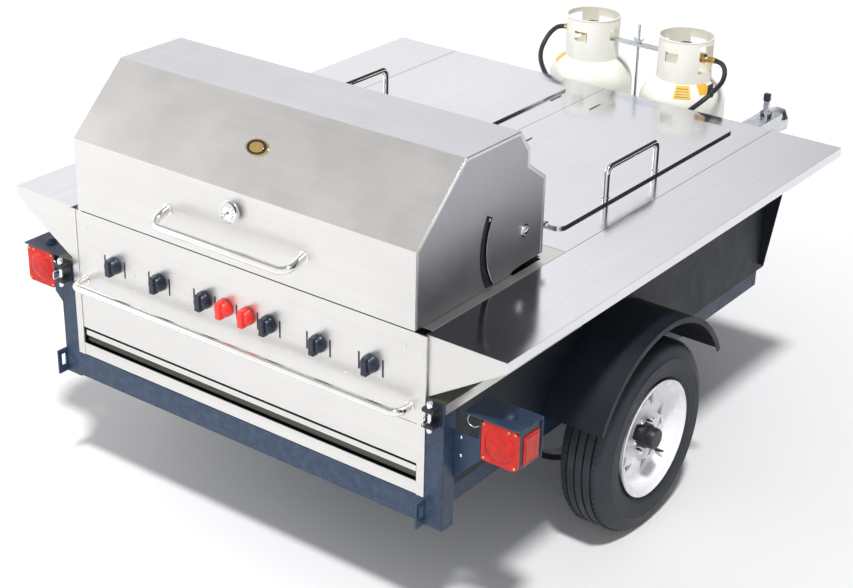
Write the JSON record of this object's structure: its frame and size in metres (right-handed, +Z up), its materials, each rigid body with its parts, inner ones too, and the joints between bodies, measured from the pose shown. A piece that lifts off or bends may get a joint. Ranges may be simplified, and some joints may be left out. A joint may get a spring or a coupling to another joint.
{
  "type": "gas grill trailer",
  "caption": "Towable stainless gas grill with a roll-back hood and knob panel at the back of a navy trailer, lidded storage bins, side shelves and twin fuel tanks on the tongue.",
  "frame": {"origin": "On the ground under the middle of the bounding box", "axes": "X is across the trailer, positive on the side that is on the right when facing the knobs; Y runs forward from the grill to the coupler; Z is up"},
  "size_m": [1.852, 3.4835, 1.3417],
  "materials": {
    "stainless": "brushed stainless sheet, 2 mm",
    "polished": "polished stainless tube",
    "frame_blue": "navy powder coat",
    "black_steel": "black paint on steel",
    "black_plastic": "black moulded plastic",
    "red_plastic": "red moulded plastic",
    "lamp_red": "clear red lens",
    "tank_cream": "cream paint on steel",
    "brass": "turned brass",
    "zinc": "zinc-plated steel",
    "chrome": "bright chrome",
    "rim_white": "white enamel on a steel wheel",
    "tyre_rubber": "black tyre rubber",
    "hose_rubber": "black rubber hose",
    "cast_iron": "seasoned cast iron",
    "gold": "gold-coloured plate"
  },
  "bodies": {
    "trailer": {"chassis_frame": "frame_blue", "storage_body": "frame_blue", "tank_tray": "frame_blue", "fender_left": "frame_blue", "fender_right": "frame_blue", "tail_lamp_bracket_left": "frame_blue", "tail_lamp_bracket_right": "frame_blue", "axle": "black_steel", "gas_line": "black_steel", "tail_lamp_left": "lamp_red", "tail_lamp_right": "lamp_red", "deck_panel_left": "stainless", "deck_panel_right": "stainless", "shelf_left": "stainless", "shelf_right": "stainless", "grill_body": "stainless", "firebox": "stainless", "front_frame": "stainless", "control_panel": "stainless", "lower_panel": "stainless", "burners": "cast_iron", "cooking_grate_1": "cast_iron", "cooking_grate_2": "cast_iron", "cooking_grate_3": "cast_iron", "towel_bar": "polished", "fuel_tank_left": "tank_cream", "fuel_tank_right": "tank_cream", "tank_valve_left": "brass", "tank_valve_right": "brass", "hold_down": "zinc", "regulator": "zinc", "coupler": "zinc", "hose_left": "hose_rubber", "hose_right": "hose_rubber"},
    "hood": {"hood": "stainless", "hood_handle": "polished", "thermometer": "chrome", "badge_plate": "gold"},
    "lid_left": {"lid_left": "stainless"},
    "lid_right": {"lid_right": "stainless"},
    "drip_tray": {"drip_tray": "stainless"},
    "wheel_left": {"tyre_left": "tyre_rubber", "rim_left": "rim_white"},
    "wheel_right": {"tyre_right": "tyre_rubber", "rim_right": "rim_white"},
    "coupler_latch": {"coupler_latch": "zinc"},
    "valve_handwheel_left": {"valve_handwheel_left": "black_plastic"},
    "valve_handwheel_right": {"valve_handwheel_right": "black_plastic"},
    "latch_bail_left": {"latch_bail_left": "chrome"},
    "latch_bail_right": {"latch_bail_right": "chrome"},
    "wing_nut": {"wing_nut": "zinc"},
    "tongue_leg": {"tongue_leg": "zinc"},
    "burner_knob_1": {"burner_knob_1": "black_plastic"},
    "burner_knob_2": {"burner_knob_2": "black_plastic"},
    "burner_knob_3": {"burner_knob_3": "black_plastic"},
    "burner_knob_4": {"burner_knob_4": "black_plastic"},
    "burner_knob_5": {"burner_knob_5": "black_plastic"},
    "burner_knob_6": {"burner_knob_6": "black_plastic"},
    "igniter_knob_1": {"igniter_knob_1": "red_plastic"},
    "igniter_knob_2": {"igniter_knob_2": "red_plastic"}
  },
  "joints": [
    {"name": "hood_hinge", "type": "hinge", "parent": "trailer", "child": "hood", "pos_m": [0, -1.1692, 1.043], "axis": [-1, 0, 0], "range_deg": [0, 62]},
    {"name": "lid_hinge_left", "type": "hinge", "parent": "trailer", "child": "lid_left", "pos_m": [-0.092, -0.3587, 0.9272], "axis": [0, 1, 0], "range_deg": [0, 80]},
    {"name": "lid_hinge_right", "type": "hinge", "parent": "trailer", "child": "lid_right", "pos_m": [0.092, -0.3587, 0.9272], "axis": [0, -1, 0], "range_deg": [0, 80]},
    {"name": "drip_tray_slide", "type": "slide", "parent": "trailer", "child": "drip_tray", "axis": [0, -1, 0], "range_m": [0, 0.45]},
    {"name": "burner_knob_1_turn", "type": "hinge", "parent": "trailer", "child": "burner_knob_1", "pos_m": [-0.478, -1.6582, 0.79], "axis": [0, -1, 0], "range_deg": [0, 210]},
    {"name": "burner_knob_2_turn", "type": "hinge", "parent": "trailer", "child": "burner_knob_2", "pos_m": [-0.298, -1.6582, 0.79], "axis": [0, -1, 0], "range_deg": [0, 210]},
    {"name": "burner_knob_3_turn", "type": "hinge", "parent": "trailer", "child": "burner_knob_3", "pos_m": [-0.12, -1.6582, 0.79], "axis": [0, -1, 0], "range_deg": [0, 210]},
    {"name": "burner_knob_4_turn", "type": "hinge", "parent": "trailer", "child": "burner_knob_4", "pos_m": [0.12, -1.6582, 0.79], "axis": [0, -1, 0], "range_deg": [0, 210]},
    {"name": "burner_knob_5_turn", "type": "hinge", "parent": "trailer", "child": "burner_knob_5", "pos_m": [0.298, -1.6582, 0.79], "axis": [0, -1, 0], "range_deg": [0, 210]},
    {"name": "burner_knob_6_turn", "type": "hinge", "parent": "trailer", "child": "burner_knob_6", "pos_m": [0.478, -1.6582, 0.79], "axis": [0, -1, 0], "range_deg": [0, 210]},
    {"name": "igniter_knob_1_turn", "type": "hinge", "parent": "trailer", "child": "igniter_knob_1", "pos_m": [-0.0415, -1.6582, 0.79], "axis": [0, -1, 0], "range_deg": [0, 90]},
    {"name": "igniter_knob_2_turn", "type": "hinge", "parent": "trailer", "child": "igniter_knob_2", "pos_m": [0.0415, -1.6582, 0.79], "axis": [0, -1, 0], "range_deg": [0, 90]},
    {"name": "wheel_left_spin", "type": "hinge", "parent": "trailer", "child": "wheel_left", "pos_m": [-0.79, -0.7877, 0.302], "axis": [1, 0, 0], "continuous": true},
    {"name": "wheel_right_spin", "type": "hinge", "parent": "trailer", "child": "wheel_right", "pos_m": [0.79, -0.7877, 0.302], "axis": [1, 0, 0], "continuous": true},
    {"name": "coupler_latch_pivot", "type": "hinge", "parent": "trailer", "child": "coupler_latch", "pos_m": [0, 1.5838, 0.462], "axis": [1, 0, 0], "range_deg": [0, 80]},
    {"name": "handwheel_left_turn", "type": "hinge", "parent": "trailer", "child": "valve_handwheel_left", "pos_m": [-0.192, 0.4718, 1.073], "axis": [0, 0, 1], "range_deg": [0, 540]},
    {"name": "handwheel_right_turn", "type": "hinge", "parent": "trailer", "child": "valve_handwheel_right", "pos_m": [0.192, 0.4718, 1.073], "axis": [0, 0, 1], "range_deg": [0, 540]},
    {"name": "latch_bail_left_swing", "type": "hinge", "parent": "trailer", "child": "latch_bail_left", "pos_m": [-0.69, -1.6822, 0.712], "axis": [0, 0, -1], "range_deg": [0, 90]},
    {"name": "latch_bail_right_swing", "type": "hinge", "parent": "trailer", "child": "latch_bail_right", "pos_m": [0.69, -1.6822, 0.712], "axis": [0, 0, 1], "range_deg": [0, 90]},
    {"name": "wing_nut_turn", "type": "hinge", "parent": "trailer", "child": "wing_nut", "pos_m": [0, 0.4718, 1.046], "axis": [0, 0, 1], "range_deg": [0, 720]},
    {"name": "tongue_leg_slide", "type": "slide", "parent": "trailer", "child": "tongue_leg", "axis": [0, 0, 1], "range_m": [0, 0.3]}
  ]
}
